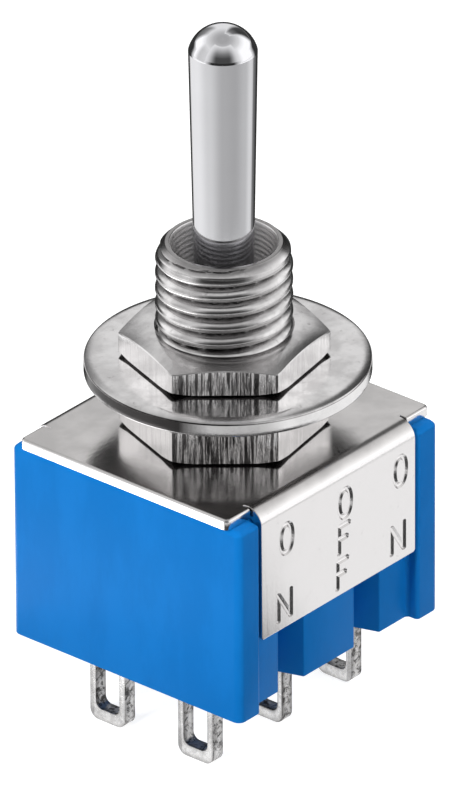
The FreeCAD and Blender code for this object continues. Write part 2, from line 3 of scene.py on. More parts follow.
import bmesh
import bpy
from mathutils import Matrix, Vector


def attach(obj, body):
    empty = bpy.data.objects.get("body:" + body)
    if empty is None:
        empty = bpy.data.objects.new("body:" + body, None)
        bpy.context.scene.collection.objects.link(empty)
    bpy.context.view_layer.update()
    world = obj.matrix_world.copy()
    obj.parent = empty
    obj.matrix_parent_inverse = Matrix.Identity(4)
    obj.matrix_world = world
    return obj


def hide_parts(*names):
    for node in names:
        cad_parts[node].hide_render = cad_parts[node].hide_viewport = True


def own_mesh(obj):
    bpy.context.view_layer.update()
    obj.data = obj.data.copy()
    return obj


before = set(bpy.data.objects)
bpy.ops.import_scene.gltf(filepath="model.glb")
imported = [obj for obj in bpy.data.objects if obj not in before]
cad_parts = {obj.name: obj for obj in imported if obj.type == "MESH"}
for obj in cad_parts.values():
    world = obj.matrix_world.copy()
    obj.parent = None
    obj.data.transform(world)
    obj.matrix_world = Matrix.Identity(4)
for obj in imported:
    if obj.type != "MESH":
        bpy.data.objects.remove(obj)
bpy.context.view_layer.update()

MM = 0.001

# Heights are drawn from the top of the frame plate, which is LIFT above the lugs' tips

LIFT = 13.70
PLATE_TOP = Vector((0, 0, LIFT * MM))


# Camera, matched to the photograph

CAMERA_AZIMUTH = -49.80
CAMERA_ELEVATION = 28.50
CAMERA_ROLL = -0.29
CAMERA_DISTANCE = 780.0
PIXELS_PER_MM = 23.10
ORIGIN_PIXEL = (224.80, 421.50)
IMAGE_SIZE = (452, 786)
SENSOR = 36.0


def direction(azimuth, elevation):
    a, e = math.radians(azimuth), math.radians(elevation)
    return Vector((math.sin(a) * math.cos(e), -math.cos(a) * math.cos(e), math.sin(e)))


def make_camera():
    a, r = math.radians(CAMERA_AZIMUTH), math.radians(CAMERA_ROLL)
    back = direction(CAMERA_AZIMUTH, CAMERA_ELEVATION)
    flat_right = Vector((math.cos(a), math.sin(a), 0))
    flat_up = back.cross(flat_right)
    right = math.cos(r) * flat_right + math.sin(r) * flat_up
    up = -math.sin(r) * flat_right + math.cos(r) * flat_up
    aside = (IMAGE_SIZE[0] / 2 - ORIGIN_PIXEL[0]) / PIXELS_PER_MM
    above = (ORIGIN_PIXEL[1] - IMAGE_SIZE[1] / 2) / PIXELS_PER_MM
    aim = PLATE_TOP + (right * aside + up * above) * MM
    data = bpy.data.cameras.new("camera")
    data.sensor_width = SENSOR
    data.lens = PIXELS_PER_MM * CAMERA_DISTANCE * SENSOR / IMAGE_SIZE[1]
    data.clip_start = 0.01
    data.clip_end = 20.0
    camera = bpy.data.objects.new("camera", data)
    turn = Matrix((right, up, back)).transposed()
    camera.matrix_world = Matrix.Translation(aim + back * CAMERA_DISTANCE * MM) @ turn.to_4x4()
    bpy.context.scene.collection.objects.link(camera)
    bpy.context.scene.camera = camera


# Driving dimensions of the turned pieces, in millimetres

BALL_Z = 4.40
BALL_RADIUS = 2.0
BALL_GAP = 0.05
LOWER_NUT_TOP = 2.00
WASHER_LOW = 2.60
WASHER_TOP = 3.35
WASHER_RADIUS = 6.25
UPPER_NUT_TOP = 4.80
BUSHING_TOP = 8.84
RIM_RADIUS = 2.58
MOUTH_RADIUS = 2.33
THROAT_RADIUS = 1.75

# Radii between which painted shade darkens the thread's roots, painted light brightens the bore, and
# painted shade darkens the washer's rolled seam

ROOT_SHADE = (2.62, 2.84)
BORE_SHADE = (2.34, 2.38)
SEAM_SHADE = (6.20, 6.23)

# The nuts stand with one flat towards the front left corner

FLAT_TURN = 40.4
FLAT_NORMAL = (-math.cos(math.radians(FLAT_TURN)), -math.sin(math.radians(FLAT_TURN)), 0.0)

# Two poles, each with three terminals

POLES = ("front", "rear")
PLACES = ("left", "common", "right")


# Node helpers

def empty_tree(owner, output):
    owner.use_nodes = True
    tree = owner.node_tree
    tree.nodes.clear()
    return tree, tree.nodes.new(output)


class Nodes:
    def __init__(self, name):
        self.material = bpy.data.materials.new(name)
        self.tree, out = empty_tree(self.material, "ShaderNodeOutputMaterial")
        self.shader = self.tree.nodes.new("ShaderNodeBsdfPrincipled")
        self.link(self.shader.outputs[0], out.inputs["Surface"])
        self.place = self.tree.nodes.new("ShaderNodeTexCoord").outputs["Object"]

    def link(self, a, b):
        self.tree.links.new(a, b)

    def feed(self, value, socket):
        if isinstance(value, (int, float, tuple)):
            socket.default_value = value
        else:
            self.link(value, socket)

    def scaled(self, x, y, z):
        node = self.tree.nodes.new("ShaderNodeMapping")
        self.link(self.place, node.inputs["Vector"])
        node.inputs["Scale"].default_value = (x, y, z)
        return node.outputs[0]

    def noise(self, vector, scale, detail, rough, distortion=0.0):
        node = self.tree.nodes.new("ShaderNodeTexNoise")
        self.link(vector, node.inputs["Vector"])
        node.inputs["Scale"].default_value = scale
        node.inputs["Detail"].default_value = detail
        node.inputs["Roughness"].default_value = rough
        node.inputs["Distortion"].default_value = distortion
        return node.outputs["Fac"]

    def remap(self, value, low, high, to_low, to_high, smooth=False):
        node = self.tree.nodes.new("ShaderNodeMapRange")
        node.interpolation_type = "SMOOTHSTEP" if smooth else "LINEAR"
        self.link(value, node.inputs["Value"])
        node.inputs["From Min"].default_value = low
        node.inputs["From Max"].default_value = high
        node.inputs["To Min"].default_value = to_low
        node.inputs["To Max"].default_value = to_high
        return node.outputs[0]

    def math(self, what, a, b=0.0):
        node = self.tree.nodes.new("ShaderNodeMath")
        node.operation = what
        self.feed(a, node.inputs[0])
        self.feed(b, node.inputs[1])
        return node.outputs[0]

    def mix(self, factor, a, b):
        node = self.tree.nodes.new("ShaderNodeMix")
        node.data_type = "RGBA"
        self.feed(factor, node.inputs[0])
        self.feed((*a, 1.0) if isinstance(a, tuple) else a, node.inputs[6])
        self.feed((*b, 1.0) if isinstance(b, tuple) else b, node.inputs[7])
        return node.outputs[2]

    def bump(self, height, distance, strength, base=None):
        node = self.tree.nodes.new("ShaderNodeBump")
        self.link(height, node.inputs["Height"])
        node.inputs["Distance"].default_value = distance
        node.inputs["Strength"].default_value = strength
        if base is not None:
            self.link(base, node.inputs["Normal"])
        return node.outputs[0]

    def axis(self, output, which):
        node = self.tree.nodes.new("ShaderNodeSeparateXYZ")
        self.link(output, node.inputs[0])
        return node.outputs[which]

    def normal(self):
        return self.tree.nodes.new("ShaderNodeNewGeometry").outputs["Normal"]

    def facing(self, which):
        return self.math("ABSOLUTE", self.axis(self.normal(), which))

    def radius(self):
        node = self.tree.nodes.new("ShaderNodeVectorMath")
        node.operation = "LENGTH"
        self.link(self.scaled(1.0, 1.0, 0.0), node.inputs[0])
        return node.outputs["Value"]

    def along(self, way):
        node = self.tree.nodes.new("ShaderNodeVectorMath")
        node.operation = "DOT_PRODUCT"
        self.link(self.normal(), node.inputs[0])
        node.inputs[1].default_value = way
        return self.math("ABSOLUTE", node.outputs["Value"])

    def finish(self, colour, roughness, normal, metallic=0.0, ior=None):
        self.link(colour, self.shader.inputs["Base Color"])
        self.link(roughness, self.shader.inputs["Roughness"])
        self.link(normal, self.shader.inputs["Normal"])
        self.shader.inputs["Metallic"].default_value = metallic
        if ior is not None:
            self.shader.inputs["IOR"].default_value = ior
        return self.material


# Materials

def blue_plastic():
    n = Nodes("blue_moulded_plastic")
    cloud = n.noise(n.scaled(420.0, 420.0, 160.0), 1.0, 5.0, 0.62)
    grain = n.noise(n.place, 9000.0, 2.0, 0.6)
    specks = n.noise(n.place, 2600.0, 4.0, 0.7)
    deep, bright, pale = (0.004, 0.176, 0.56), (0.006, 0.196, 0.61), (0.012, 0.235, 0.66)
    colour = n.mix(n.remap(cloud, 0.38, 0.62, 0.0, 1.0, True), deep, bright)
    colour = n.mix(n.remap(specks, 0.66, 0.80, 0.0, 0.20), colour, pale)
    rough = n.remap(cloud, 0.3, 0.7, 0.34, 0.42)
    normal = n.bump(grain, 0.000008, 0.35)
    n.shader.inputs["Specular IOR Level"].default_value = 0.05
    return n.finish(colour, rough, normal, ior=1.45)


def lever_chrome():
    n = Nodes("polished_chrome")
    cloud = n.noise(n.place, 420.0, 3.0, 0.5)
    lines = n.noise(n.scaled(2500.0, 2500.0, 90.0), 1.0, 3.0, 0.6)
    colour = n.mix(cloud, (0.68, 0.68, 0.70), (0.74, 0.74, 0.76))
    rough = n.remap(lines, 0.3, 0.75, 0.05, 0.11)
    normal = n.bump(lines, 0.000002, 0.25)
    return n.finish(colour, rough, normal, metallic=1.0)


# Bright nickel: the flank share sets how far upright faces are painted lighter, a painted highlight,
# and the streak share how strongly the front flats get shear streaks and painted dark reflection,
# while grooves and seam paint shade into the thread's roots and the washer's rolled seam, and light
# onto the bore

def nickel(name, rough_low, rough_high, tone=1.0, flank_light=0.0, streaks_and_shade=0.0, grooves=False, seam=False):
    n = Nodes(name)
    cloud = n.noise(n.place, 700.0, 4.0, 0.6)
    fine = n.noise(n.place, 5200.0, 4.0, 0.62)
    pits = n.noise(n.place, 2400.0, 5.0, 0.7)
    bright = (0.66 * tone, 0.65 * tone, 0.65 * tone)
    dull = (0.50 * tone, 0.49 * tone, 0.49 * tone)
    colour = n.mix(n.remap(cloud, 0.35, 0.65, 0.0, 1.0, True), bright, dull)
    colour = n.mix(n.remap(pits, 0.60, 0.74, 0.0, 0.55), colour, (0.20, 0.19, 0.19))
    rough = n.remap(cloud, 0.3, 0.7, rough_low, rough_high)
    normal = n.bump(fine, 0.000010, 0.30)
    radius = n.radius()
    if grooves:
        # Painted shade: the thread is painted near black towards the roots of its grooves
        root = n.remap(radius, ROOT_SHADE[0] * MM, ROOT_SHADE[1] * MM, 0.75, 0.0, True)
        # Painted light: the bore's walls are painted pale, and made rougher
        bore = n.remap(radius, BORE_SHADE[0] * MM, BORE_SHADE[1] * MM, 1.0, 0.0)
        colour = n.mix(root, colour, (0.15, 0.145, 0.145))
        colour = n.mix(bore, colour, (0.86, 0.85, 0.85))
        rough = n.math("ADD", rough, n.math("MULTIPLY", bore, 0.15))
    # Painted highlight: upright faces are painted lighter by the flank share
    side = n.remap(n.facing(2), 0.30, 0.12, 0.0, 1.0)
    colour = n.mix(n.math("MULTIPLY", side, flank_light), colour, (0.95, 0.94, 0.94))
    if seam:
        # Painted shade: upright faces inside the rolled seam's radius are painted near black
        inside = n.remap(radius, SEAM_SHADE[0] * MM, SEAM_SHADE[1] * MM, 1.0, 0.0)
        colour = n.mix(n.math("MULTIPLY", side, inside), colour, (0.04, 0.038, 0.038))
    if streaks_and_shade:
        # Shear streaks, strong on the front and back flats only: partly real marks, partly painted
        # dark reflection
        front = n.remap(n.along(FLAT_NORMAL), 0.86, 0.96, 0.10, 1.0)
        shear = n.noise(n.scaled(6400.0, 6400.0, 380.0), 1.0, 4.0, 0.68, 0.5)
        cut = n.remap(shear, 0.46, 0.55, 0.0, 1.0, True)
        shorn_and_shaded = n.math("MULTIPLY", n.math("MULTIPLY", cut, side), front)
        colour = n.mix(n.math("MULTIPLY", shorn_and_shaded, streaks_and_shade), colour, (0.07, 0.066, 0.066))
        height = n.math("MULTIPLY", n.math("MULTIPLY", shear, side), front)
        normal = n.bump(height, 0.00012, 0.8 * streaks_and_shade, normal)
        # Painted shade: faces turned downwards are painted near black
        under = n.remap(n.axis(n.normal(), 2), -0.20, -0.45, 0.0, 0.95)
        colour = n.mix(under, colour, (0.03, 0.028, 0.028))
    return n.finish(colour, rough, normal, metallic=1.0)


def frame_plate():
    n = Nodes("plated_sheet")
    cloud = n.noise(n.place, 330.0, 4.0, 0.55)
    fine = n.noise(n.place, 6500.0, 3.0, 0.6)
    upright = n.noise(n.scaled(3600.0, 3600.0, 160.0), 1.0, 3.0, 0.6)
    # Painted light: the sheet's upright faces, its flaps and edges, are painted lighter than its top
    side = n.remap(n.facing(2), 0.75, 0.35, 0.0, 1.0, True)
    bright, dull = (0.55, 0.535, 0.53), (0.44, 0.43, 0.425)
    colour = n.mix(n.remap(cloud, 0.35, 0.7, 0.0, 1.0, True), bright, dull)
    colour = n.mix(side, colour, (0.80, 0.785, 0.785))
    spots = n.noise(n.place, 2600.0, 5.0, 0.75)
    colour = n.mix(n.remap(spots, 0.62, 0.76, 0.0, 0.35), colour, (0.32, 0.31, 0.30))
    rough = n.remap(cloud, 0.3, 0.7, 0.14, 0.24)
    normal = n.bump(fine, 0.000008, 0.30)
    normal = n.bump(n.math("MULTIPLY", upright, side), 0.000012, 0.35, normal)
    return n.finish(colour, rough, normal, metallic=1.0)


def lug_silver():
    n = Nodes("silver_stained_and_shaded")
    cloud = n.noise(n.place, 900.0, 4.0, 0.6)
    crust = n.noise(n.place, 2900.0, 7.0, 0.74, 0.6)
    fine = n.noise(n.place, 7000.0, 4.0, 0.65)
    flat = n.facing(0)
    # Painted shade: faces not turned along x, the thin sides and the eyes' walls, are painted darker
    # and made rougher
    side = n.remap(flat, 0.92, 0.55, 0.0, 1.0, True)
    # Painted shade: a dark outline on the rounded edges between the wide faces and the thin sides
    off_flat = n.remap(flat, 0.997, 0.96, 0.0, 1.0)
    off_side = n.remap(flat, 0.06, 0.25, 0.0, 0.75)
    painted_edge_shade = n.math("MULTIPLY", off_flat, off_side)
    bright, dull = (0.74, 0.73, 0.72), (0.56, 0.55, 0.54)
    colour = n.mix(n.remap(cloud, 0.35, 0.7, 0.0, 1.0, True), bright, dull)
    colour = n.mix(n.math("MULTIPLY", side, 0.30), colour, (0.30, 0.29, 0.28))
    # Random dark stains, partly real, and heavier on the thin sides as painted shade
    stain_and_shade = n.remap(crust, 0.47, 0.57, 0.0, 0.95)
    stain_and_shade = n.math("MULTIPLY", stain_and_shade, n.math("ADD", n.math("MULTIPLY", side, 0.80), 0.20))
    colour = n.mix(stain_and_shade, colour, (0.05, 0.047, 0.045))
    colour = n.mix(painted_edge_shade, colour, (0.03, 0.028, 0.027))
    rough = n.math("ADD", n.remap(crust, 0.3, 0.7, 0.16, 0.34), n.math("MULTIPLY", side, 0.20))
    normal = n.bump(crust, 0.000070, 0.55)
    normal = n.bump(fine, 0.000012, 0.30, normal)
    return n.finish(colour, rough, normal, metallic=1.0)


def pale_plastic():
    n = Nodes("natural_moulded_plastic")
    cloud = n.noise(n.place, 500.0, 3.0, 0.5)
    grain = n.noise(n.place, 7000.0, 2.0, 0.6)
    colour = n.mix(cloud, (0.62, 0.59, 0.50), (0.70, 0.67, 0.58))
    rough = n.remap(cloud, 0.3, 0.7, 0.45, 0.58)
    normal = n.bump(grain, 0.000008, 0.35)
    return n.finish(colour, rough, normal, ior=1.48)


def wire_steel():
    n = Nodes("drawn_steel")
    cloud = n.noise(n.place, 900.0, 3.0, 0.6)
    fine = n.noise(n.place, 6000.0, 3.0, 0.6)
    colour = n.mix(cloud, (0.34, 0.33, 0.32), (0.20, 0.195, 0.19))
    rough = n.remap(cloud, 0.3, 0.7, 0.26, 0.42)
    normal = n.bump(fine, 0.000010, 0.4)
    return n.finish(colour, rough, normal, metallic=1.0)


# Mesh helpers

SMOOTH_ANGLE = 32.0
BEVEL_ANGLE = 30.0
COPLANAR_ANGLE = 0.3
WELD = 1e-7
LATHE_STEPS = 192


def point(x, y, z):
    return Vector((x * MM, y * MM, (z + LIFT) * MM))


def around_axis(radius, turn, z):
    return point(radius * math.cos(turn), radius * math.sin(turn), z)


def place_mesh(name, bm):
    mesh = bpy.data.meshes.new(name)
    bm.to_mesh(mesh)
    bm.free()
    obj = bpy.data.objects.new(name, mesh)
    bpy.context.scene.collection.objects.link(obj)
    return obj


def to_object(name, bm, material, body, sharp=SMOOTH_ANGLE):
    bmesh.ops.recalc_face_normals(bm, faces=bm.faces)
    obj = place_mesh(name, bm)
    obj.data.materials.append(material)
    soften(obj.data, sharp)
    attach(obj, body)
    return obj


def soften(mesh, sharp):
    for face in mesh.polygons:
        face.use_smooth = True
    mesh.set_sharp_from_angle(angle=math.radians(sharp))


def bake(obj):
    graph = bpy.context.evaluated_depsgraph_get()
    mesh = bpy.data.meshes.new_from_object(obj.evaluated_get(graph))
    obj.modifiers.clear()
    obj.data = mesh


def bevel(obj, width, segments):
    cut = obj.modifiers.new("edge", "BEVEL")
    cut.width = width * MM
    cut.segments = segments
    cut.limit_method = "ANGLE"
    cut.angle_limit = math.radians(BEVEL_ANGLE)
    cut.use_clamp_overlap = True
    bake(obj)
    soften(obj.data, SMOOTH_ANGLE)


# A copy of a node's solid with its edges rounded, in the node's place

def dressed(node, name, material, width, body="base", segments=2):
    bm = bmesh.new()
    bm.from_mesh(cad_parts[node].data)
    bmesh.ops.remove_doubles(bm, verts=bm.verts, dist=WELD)
    flat = math.radians(COPLANAR_ANGLE)
    bmesh.ops.dissolve_limit(bm, angle_limit=flat, verts=bm.verts, edges=bm.edges)
    obj = to_object(name, bm, material, body)
    bevel(obj, width, segments)
    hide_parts(node)
    return obj


# Cuts the closed shape in bm out of obj

def carve(obj, bm, sharp):
    bmesh.ops.recalc_face_normals(bm, faces=bm.faces)
    tool = place_mesh("cutter", bm)
    cut = obj.modifiers.new("cut", "BOOLEAN")
    cut.operation = "DIFFERENCE"
    cut.solver = "EXACT"
    cut.object = tool
    bpy.context.view_layer.update()
    bake(obj)
    bpy.data.objects.remove(tool)
    soften(obj.data, sharp)


def lathe(name, profile, material, body, sharp, centre=(0.0, 0.0), closed=False):
    bm = bmesh.new()
    rings = []
    for radius, z in profile:
        spot = point(*centre, z)
        if radius < 1e-6:
            rings.append([bm.verts.new(spot)])
            continue
        ring = []
        for step in range(LATHE_STEPS):
            turn = 2 * math.pi * step / LATHE_STEPS
            out = Vector((math.cos(turn), math.sin(turn), 0)) * radius * MM
            ring.append(bm.verts.new(spot + out))
        rings.append(ring)
    join_rings(bm, rings + rings[:1] if closed else rings)
    return to_object(name, bm, material, body, sharp)


def join_rings(bm, rings):
    for low, high in zip(rings[:-1], rings[1:]):
        count = max(len(low), len(high))
        for step in range(count):
            after = (step + 1) % count
            if len(low) == 1:
                bm.faces.new((low[0], high[after], high[step]))
            elif len(high) == 1:
                bm.faces.new((low[step], low[after], high[0]))
            else:
                bm.faces.new((low[step], low[after], high[after], high[step]))


def close_ends(bm, rings):
    bm.faces.new(rings[0])
    bm.faces.new(list(reversed(rings[-1])))


def arc(cx, cz, radius, start, end, steps):
    points = []
    for step in range(steps + 1):
        turn = math.radians(start + (end - start) * step / steps)
        points.append((cx + radius * math.cos(turn), cz + radius * math.sin(turn)))
    return points


# Points along a straight line, without its first one

def run(a, b, steps):
    points = []
    for step in range(1, steps + 1):
        points.append((a[0] + (b[0] - a[0]) * step / steps, a[1] + (b[1] - a[1]) * step / steps))
    return points


# Plunger springs, each on a mesh of its own

SPRING_EDGE = 0.01


def make_spring(pole, material):
    node = "plunger_spring_" + pole
    obj = dressed(node, "coil_" + pole, material, SPRING_EDGE, "lever_set", 1)
    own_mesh(obj)


# Bushing with its real thread

PITCH = 0.75
CREST = 2.99
PITCH_RADIUS = 2.75
THREAD_DEPTH = 0.40
THREAD_ROUNDNESS = 2.2
THREAD_WEAR = 0.010
THREAD_TOP = 8.05
THREAD_FADE = 0.42
THREAD_WORN = 0.10
SHANK_RADIUS = 2.98
NUT_CLEARANCE = 0.01
CONE_SLOPE = 1.05
LIP = 0.05
LIP_INNER = 0.07
THROAT_RIDGE = 0.006
THROAT_PITCH = 0.22
SOCKET_RADIUS = BALL_RADIUS + BALL_GAP
SOCKET_LOW = 2.45
FOOT_BORE = 2.30
FOOT_BORE_TOP = 2.20
FOOT_RADIUS = 3.85
FOOT_BEVEL = 0.06
FOOT_LOW = -1.20
FOOT_TOP = -0.50
FOOT_NECK = 3.05
PIN_SLOT_HALF = 0.45
PIN_SLOT_REACH = 2.55
PIN_SLOT_LOW = -2.0
BUSHING_SHARP = 50.0


# Radius at one turn and height: plain in the foot's neck, a thread that is worn unevenly above it,
# clear of both nuts' bores inside them, and turned down to a cone at the top

def thread_radius(turn, z):
    if z < 0.0:
        return SHANK_RADIUS
    phase = (z / PITCH - turn / (2 * math.pi)) % 1.0
    groove = abs(2 * phase - 1) ** THREAD_ROUNDNESS
    wear = THREAD_WEAR * math.sin(5 * turn + 2.1 * z) * math.sin(3.3 * z + 2 * turn)
    radius = CREST - THREAD_DEPTH * groove + wear
    in_lower_nut = z < LOWER_NUT_TOP + 0.02
    in_upper_nut = WASHER_TOP - 0.02 < z < UPPER_NUT_TOP - 0.22
    if in_lower_nut or in_upper_nut:
        return min(radius, PITCH_RADIUS - NUT_CLEARANCE)
    fade = max(0.0, min(1.0, (z - THREAD_TOP) / THREAD_FADE))
    radius = radius * (1 - fade) + min(radius, CREST - THREAD_WORN) * fade
    cone = RIM_RADIUS + 0.02 + (BUSHING_TOP - LIP - z) * CONE_SLOPE
    return min(radius, cone, CREST)


def foot_profile():
    side = FOOT_RADIUS - FOOT_BEVEL
    return [
        (FOOT_BORE, FOOT_LOW),
        (FOOT_BORE + 0.30, FOOT_LOW),
        (side, FOOT_LOW),
        (FOOT_RADIUS, FOOT_LOW + FOOT_BEVEL),
        (FOOT_RADIUS, FOOT_TOP - FOOT_BEVEL),
        (side, FOOT_TOP),
        (FOOT_NECK, FOOT_TOP),
    ]


# The mouth narrows to a throat with turning marks, and opens again to the ball's socket

def throat_profile():
    top = BUSHING_TOP - LIP_INNER
    low = BALL_Z + math.sqrt(SOCKET_RADIUS ** 2 - THROAT_RADIUS ** 2)
    steps = 60
    profile = arc(RIM_RADIUS - LIP, BUSHING_TOP - LIP, LIP, 20, 90, 4)
    profile += arc(MOUTH_RADIUS + LIP_INNER, top, LIP_INNER, 90, 180, 5)
    for step in range(1, steps + 1):
        z = top - (top - low) * step / steps
        share = (z - low) / (BUSHING_TOP - low)
        ridge = THROAT_RIDGE * math.sin(2 * math.pi * z / THROAT_PITCH) * min(1.0, 8 * share)
        profile.append((THROAT_RADIUS + (MOUTH_RADIUS - THROAT_RADIUS) * share + ridge, z))
    start = math.degrees(math.acos(THROAT_RADIUS / SOCKET_RADIUS))
    profile += arc(0, BALL_Z, SOCKET_RADIUS, start, 0, 10)[1:]
    return profile + [(SOCKET_RADIUS, SOCKET_LOW), (FOOT_BORE, FOOT_BORE_TOP)]


def pin_slot():
    bm = bmesh.new()
    outline = [(PIN_SLOT_HALF, PIN_SLOT_LOW)]
    outline += arc(0, BALL_Z, PIN_SLOT_HALF, 0, 180, 12)
    outline += [(-PIN_SLOT_HALF, PIN_SLOT_LOW)]
    rings = []
    for y in (-PIN_SLOT_REACH, PIN_SLOT_REACH):
        rings.append([bm.verts.new(point(x, y, z)) for x, z in outline])
    join_rings(bm, rings)
    close_ends(bm, rings)
    return bm


def make_bushing(material):
    around = 160
    thread_steps = 200
    thread_low = FOOT_TOP + 0.01
    thread_high = BUSHING_TOP - LIP
    bm = bmesh.new()
    rings = []

    def ring(z, radius):
        row = []
        for step in range(around):
            turn = 2 * math.pi * step / around
            r = radius(turn, z) if callable(radius) else radius
            row.append(bm.verts.new(around_axis(r, turn, z)))
        rings.append(row)

    for radius, z in foot_profile():
        ring(z, radius)
    for step in range(thread_steps + 1):
        ring(thread_low + (thread_high - thread_low) * step / thread_steps, thread_radius)
    for radius, z in throat_profile():
        ring(z, radius)
    join_rings(bm, rings + rings[:1])
    obj = to_object("bushing_threaded", bm, material, "base", BUSHING_SHARP)
    carve(obj, pin_slot(), BUSHING_SHARP)
    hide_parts("bushing")


# Nuts, with their corners turned down

NUT_FLAT = 4.0
NUT_CORNER = 4.585
NUT_UNDER = 4.25
NUT_CROWN = 3.40
NUT_SLOPE = 18.0
NUT_BORE = 2.765
NUT_MOUTH = 3.04
NUT_COUNTERSINK = 0.27
NUT_SHARP = 24.0


def nut_profile(reach, z_low, z_high):
    slope = math.tan(math.radians(NUT_SLOPE))
    low = z_low + max(0.0, reach - NUT_UNDER) * slope
    high = z_high - max(0.0, reach - NUT_CROWN) * slope
    return [
        (NUT_MOUTH, z_low),
        (NUT_UNDER * 0.93, z_low),
        (min(NUT_UNDER, reach - 0.10), z_low),
        (reach, low + 0.10),
        (reach, low + (high - low) * 0.35),
        (reach, low + (high - low) * 0.70),
        (reach, high - 0.03),
        (reach - 0.04, high + 0.02),
        (NUT_CROWN, z_high),
        (NUT_MOUTH, z_high),
        (NUT_BORE, z_high - NUT_COUNTERSINK),
        (NUT_BORE, z_low + NUT_COUNTERSINK),
    ]


def make_nut(name, node, z_low, z_high, material):
    around = 144
    bm = bmesh.new()
    columns = []
    for step in range(around):
        from_corner = 360.0 * step / around
        off_flat = from_corner % 60 - 30
        reach = min(NUT_FLAT / math.cos(math.radians(off_flat)), NUT_CORNER)
        turn = math.radians(from_corner + FLAT_TURN - 30)
        profile = nut_profile(reach, z_low, z_high)
        columns.append([bm.verts.new(around_axis(radius, turn, z)) for radius, z in profile])
    rows = list(zip(*columns))
    join_rings(bm, rows + rows[:1])
    obj = to_object(name, bm, material, "base", NUT_SHARP)
    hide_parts(node)


# Large washer, punched, with a rolled upper edge, lying a little off the axis

WASHER_SHIFT = 0.15
WASHER_SHIFT_TURN = -49.6
WASHER_HOLE = 3.20
WASHER_BREAK = 0.04
WASHER_ROUND = 0.08
WASHER_LIP = 0.10
ROLL_RADIUS = 6.20
ROLL_WIDTH = 0.55
ROLL_DROP = 0.10
WASHER_SHARP = 34.0


def washer_profile():
    low, high = WASHER_LOW, WASHER_TOP
    steps = 8
    profile = [(WASHER_HOLE, low + WASHER_BREAK), (WASHER_HOLE + WASHER_BREAK, low)]
    profile += arc(WASHER_RADIUS - WASHER_ROUND, low + WASHER_ROUND, WASHER_ROUND, -90, 0, 4)
    profile += [
        (WASHER_RADIUS, low + 0.30),
        (WASHER_RADIUS, high - 0.175),
        (ROLL_RADIUS, high - 0.168),
        (ROLL_RADIUS, high - 0.125),
        (ROLL_RADIUS + 0.02, high - 0.115),
        (ROLL_RADIUS, high - ROLL_DROP),
    ]
    for step in range(1, steps + 1):
        share = step / steps
        profile.append((ROLL_RADIUS - ROLL_WIDTH * share, high - ROLL_DROP * (1 - share) ** 2))
    profile += [(5.4, high), (4.8, high)]
    return profile + arc(WASHER_HOLE + WASHER_LIP, high - WASHER_LIP, WASHER_LIP, 90, 180, 4)


def make_washer(material):
    turn = math.radians(WASHER_SHIFT_TURN)
    centre = (WASHER_SHIFT * math.cos(turn), WASHER_SHIFT * math.sin(turn))
    profile = washer_profile()
    obj = lathe("panel_washer_rolled", profile, material, "base", WASHER_SHARP, centre, closed=True)
    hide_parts("panel_washer")


# Lever, with its flattened lower end

LEVER_TIP = 19.28
LEVER_RADIUS = 1.5
DOME_HEIGHT = 1.17
DOME_SHOULDER = 0.85
DOME_CREASE = 10.0
TAPER_RADIUS = 1.325
WAIST_RADIUS = 1.25
WAIST_TOP = 6.60
STEM_RADIUS = 1.0
STEM_FLAT = 0.75
STEM_LOW = -1.88
LEVER_SHARP = 3.5

# Each ring of the flattened end: its share of full size, and its height

STEM_END_RINGS = ((1.0, -1.86), (1.0, -3.50), (0.84, -3.70))


# Two arcs that meet smoothly: a wide crown, and a tight shoulder that ends in the crease

def dome_profile():
    crease = math.radians(DOME_CREASE)
    aside = LEVER_RADIUS - DOME_SHOULDER * math.cos(crease)
    rise = DOME_HEIGHT + DOME_SHOULDER * math.sin(crease)
    crown = (aside ** 2 + rise ** 2 - DOME_SHOULDER ** 2) / (2 * (rise - DOME_SHOULDER))
    meeting = math.degrees(math.atan2(crown - rise, aside))
    profile = arc(0, LEVER_TIP - crown, crown, 90, meeting, 26)
    profile[0] = (0.0, LEVER_TIP)
    return profile + arc(aside, LEVER_TIP - rise, DOME_SHOULDER, meeting, DOME_CREASE, 20)[1:]


def make_lever(material):
    dome_base = LEVER_TIP - DOME_HEIGHT
    neck = math.degrees(math.acos(WAIST_RADIUS / BALL_RADIUS))
    stem = -math.degrees(math.acos(STEM_RADIUS / BALL_RADIUS))
    ball_top = BALL_Z + BALL_RADIUS * math.sin(math.radians(neck))
    profile = dome_profile()
    profile += run((LEVER_RADIUS, dome_base - 0.012), (TAPER_RADIUS, BUSHING_TOP), 24)
    profile += run((TAPER_RADIUS, BUSHING_TOP), (WAIST_RADIUS, WAIST_TOP), 6)
    profile += run((WAIST_RADIUS, WAIST_TOP), (WAIST_RADIUS, ball_top), 3)
    profile += arc(0, BALL_Z, BALL_RADIUS, neck, stem, 28)[1:]
    profile += [(STEM_RADIUS, 0.0), (STEM_RADIUS, STEM_LOW), (0.0, STEM_LOW)]
    obj = lathe("lever_bat", profile, material, "lever_set", LEVER_SHARP)
    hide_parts("lever")


def make_stem_end(material):
    spread = math.degrees(math.asin(STEM_FLAT / STEM_RADIUS))
    outline = []
    for side in (90, 270):
        outline += arc(0, 0, STEM_RADIUS, side - spread, side + spread, 8)
    bm = bmesh.new()
    rings = []
    for share, z in STEM_END_RINGS:
        rings.append([bm.verts.new(point(x * share, y * share, z)) for x, y in outline])
    join_rings(bm, rings)
    close_ends(bm, rings)
    obj = to_object("lever_stem_end", bm, material, "lever_set")


# Lettering stamped into both flaps: each row is how far the groove's edge lies
# outside the stroke, and how far that row lies outside the flap's face

